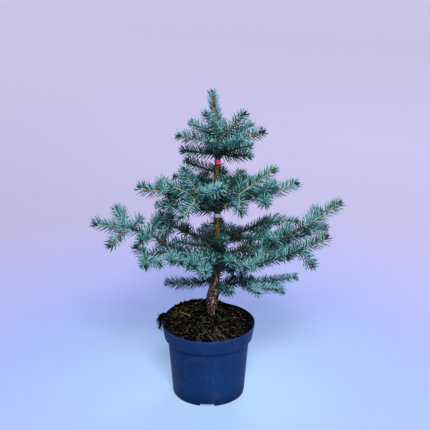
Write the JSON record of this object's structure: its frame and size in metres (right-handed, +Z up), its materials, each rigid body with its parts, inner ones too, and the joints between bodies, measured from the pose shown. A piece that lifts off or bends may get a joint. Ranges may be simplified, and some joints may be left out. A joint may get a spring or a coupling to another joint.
{
  "type": "potted blue spruce",
  "caption": "Young grafted blue spruce with tiers of needle-clad boughs on a leaning trunk, in a round dark blue nursery pot of soil.",
  "frame": {"origin": "middle of the pot's flat underside", "axes": "+Z up along the pot's axis, +X to the right and +Y away from someone who looks at the plant's front as the picture does"},
  "size_m": [0.5951, 0.4178, 0.7605],
  "materials": {
    "pot_plastic": "dark blue moulded polypropylene, faintly scratched",
    "peat": "moist black-brown peat compost with moss, bark chips and fibres",
    "bark": "scaly grey-brown bark at the foot, golden brown higher up",
    "needles": "stiff silver-blue needles with a waxy bloom",
    "pink_tape": "bright pink plastic tying tape",
    "pale_tape": "pale blue-white plastic tying tape"
  },
  "bodies": {
    "root": {"bough_bottom_right": "bark", "bough_lower_back": "bark", "bough_lower_back_left": "bark", "bough_lower_back_right": "bark", "bough_lower_front_left": "bark", "bough_lower_front_right": "bark", "bough_lower_left": "bark", "bough_lower_right": "bark", "bough_middle_back_left": "bark", "bough_middle_back_right": "bark", "bough_middle_front_left": "bark", "bough_middle_front_right": "bark", "bough_middle_left": "bark", "bough_middle_right": "bark", "foliage_bottom_back": "needles", "foliage_bottom_front": "needles", "foliage_bottom_left": "needles", "foliage_bottom_right": "needles", "foliage_inner_1": "needles", "foliage_inner_2": "needles", "foliage_leader": "needles", "foliage_lower_back": "needles", "foliage_lower_back_left": "needles", "foliage_lower_back_right": "needles", "foliage_lower_front": "needles", "foliage_lower_front_high": "needles", "foliage_lower_front_left": "needles", "foliage_lower_front_low": "needles", "foliage_lower_front_right": "needles", "foliage_lower_front_short": "needles", "foliage_lower_left": "needles", "foliage_lower_left_short": "needles", "foliage_lower_right": "needles", "foliage_middle_back_left": "needles", "foliage_middle_back_right": "needles", "foliage_middle_front": "needles", "foliage_middle_front_left": "needles", "foliage_middle_front_right": "needles", "foliage_middle_left": "needles", "foliage_middle_low": "needles", "foliage_middle_right": "needles", "foliage_top_1": "needles", "foliage_top_2": "needles", "foliage_top_3": "needles", "foliage_top_4": "needles", "foliage_top_5": "needles", "foliage_top_6": "needles", "foliage_top_7": "needles", "foliage_top_8": "needles", "foliage_upper_1": "needles", "foliage_upper_2": "needles", "foliage_upper_3": "needles", "foliage_upper_4": "needles", "foliage_upper_5": "needles", "pot": "pot_plastic", "soil": "peat", "tie_lower": "pale_tape", "tie_upper": "pink_tape", "trunk": "bark"}
  },
  "joints": []
}
